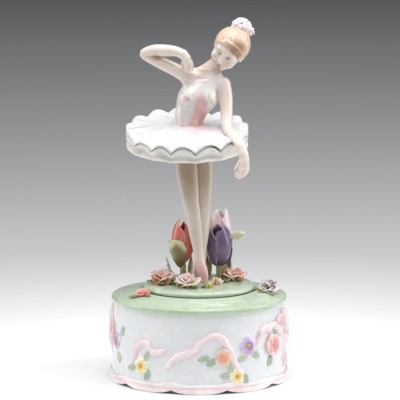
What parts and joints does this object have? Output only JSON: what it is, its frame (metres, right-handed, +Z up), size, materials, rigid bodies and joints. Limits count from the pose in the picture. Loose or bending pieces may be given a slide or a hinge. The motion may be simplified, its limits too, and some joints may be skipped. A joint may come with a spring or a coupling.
{
  "type": "musical figurine",
  "caption": "Glazed porcelain ballerina on a turntable among tulips and roses, over a round scalloped drum that holds a wind-up comb movement.",
  "frame": {"origin": "centre of the drum's foot, on the surface it stands on", "axes": "+Z up along the turntable's axis, -Y the front of the dancer, +X to the right as seen from the front"},
  "size_m": [0.1072, 0.1084, 0.215],
  "materials": {
    "drum_glaze": "gloss white glaze",
    "pink_glaze": "gloss pink glaze",
    "rose_glaze": "hand-painted rose",
    "pansy_glaze": "hand-painted violet",
    "daisy_glaze": "hand-painted cream and yellow",
    "leaf_glaze": "hand-painted sage",
    "lawn_glaze": "mottled pale green glaze",
    "skin_glaze": "gloss warm cream",
    "bodice_glaze": "hand-painted white and pink",
    "tutu_glaze": "gloss white",
    "slipper_glaze": "gloss pale pink",
    "hair_glaze": "hand-painted blond",
    "red_tulip_glaze": "hand-painted red",
    "purple_tulip_glaze": "hand-painted purple",
    "green_glaze": "hand-painted olive",
    "steel": "plain",
    "brass": "turned",
    "cast_frame": "die cast",
    "grey_plastic": "moulded",
    "nylon": "moulded"
  },
  "bodies": {
    "drum": {"drum_wall": "drum_glaze", "foot_band": "pink_glaze", "ribbon_swags": "pink_glaze", "relief_roses": "rose_glaze", "relief_pansies": "pansy_glaze", "relief_daisies": "daisy_glaze", "relief_leaves": "leaf_glaze", "lawn_cap": "lawn_glaze", "spindle_bush": "nylon", "base_plug": "grey_plastic", "movement_screws": "steel", "bedplate": "cast_frame", "cylinder_bearings": "steel", "barrel_bridge": "steel", "comb_block": "cast_frame", "comb": "steel", "comb_screws": "steel", "governor_frame": "steel", "lawn_coral_flower": "rose_glaze", "lawn_white_flower": "daisy_glaze", "lawn_flower_leaves": "green_glaze"},
    "turntable": {"spring_barrel": "brass", "mainspring": "steel", "barrel_lid": "brass", "drive_spindle": "steel", "spindle_hub": "nylon", "turntable_disc": "lawn_glaze", "right_leg": "skin_glaze", "left_leg": "skin_glaze", "right_slipper": "slipper_glaze", "left_slipper": "slipper_glaze", "torso": "bodice_glaze", "tutu_top_layer": "tutu_glaze", "tutu_under_layer": "tutu_glaze", "right_arm": "skin_glaze", "left_arm": "skin_glaze", "head": "skin_glaze", "hair": "hair_glaze", "hair_flowers": "pink_glaze", "red_tulip": "red_tulip_glaze", "purple_tulip": "purple_tulip_glaze", "pink_tulip": "pink_glaze", "tulip_leaves": "green_glaze", "peach_rose": "rose_glaze", "pink_rose": "pink_glaze", "coral_rose": "rose_glaze", "small_blossoms": "daisy_glaze", "rose_leaves": "green_glaze"},
    "winding_key_body": {"winding_arbor": "steel", "winding_key": "steel"},
    "music_cylinder": {"pinned_cylinder": "brass", "cylinder_pins": "steel", "crown_pinion": "brass", "great_wheel": "brass"},
    "idler": {"idler_pinion": "steel", "worm_wheel": "nylon"},
    "governor": {"governor_worm": "steel", "governor_fan": "brass"}
  },
  "joints": [
    {"name": "turntable_spin", "type": "hinge", "parent": "drum", "child": "turntable", "pos_m": [0, 0, 0.0536], "axis": [0, 0, 1], "continuous": true},
    {"name": "cylinder_spin", "type": "hinge", "parent": "drum", "child": "music_cylinder", "pos_m": [0.0246, 0, 0.03591], "axis": [1, 0, 0], "continuous": true},
    {"name": "idler_spin", "type": "hinge", "parent": "drum", "child": "idler", "pos_m": [0.0384, 0.0101, 0.03041], "axis": [1, 0, 0], "continuous": true},
    {"name": "governor_spin", "type": "hinge", "parent": "drum", "child": "governor", "pos_m": [0.0391, 0.0026, 0.0305], "axis": [0, 0, 1], "continuous": true},
    {"name": "key_wind", "type": "hinge", "parent": "drum", "child": "winding_key_body", "pos_m": [0, 0, 0.01], "axis": [0, 0, -1], "range_deg": [0, 1800]}
  ],
  "couplings": [
    {"joint": "cylinder_spin", "follows": "turntable_spin", "ratio": 3},
    {"joint": "idler_spin", "follows": "turntable_spin", "ratio": -10.8},
    {"joint": "governor_spin", "follows": "turntable_spin", "ratio": 259.2}
  ]
}
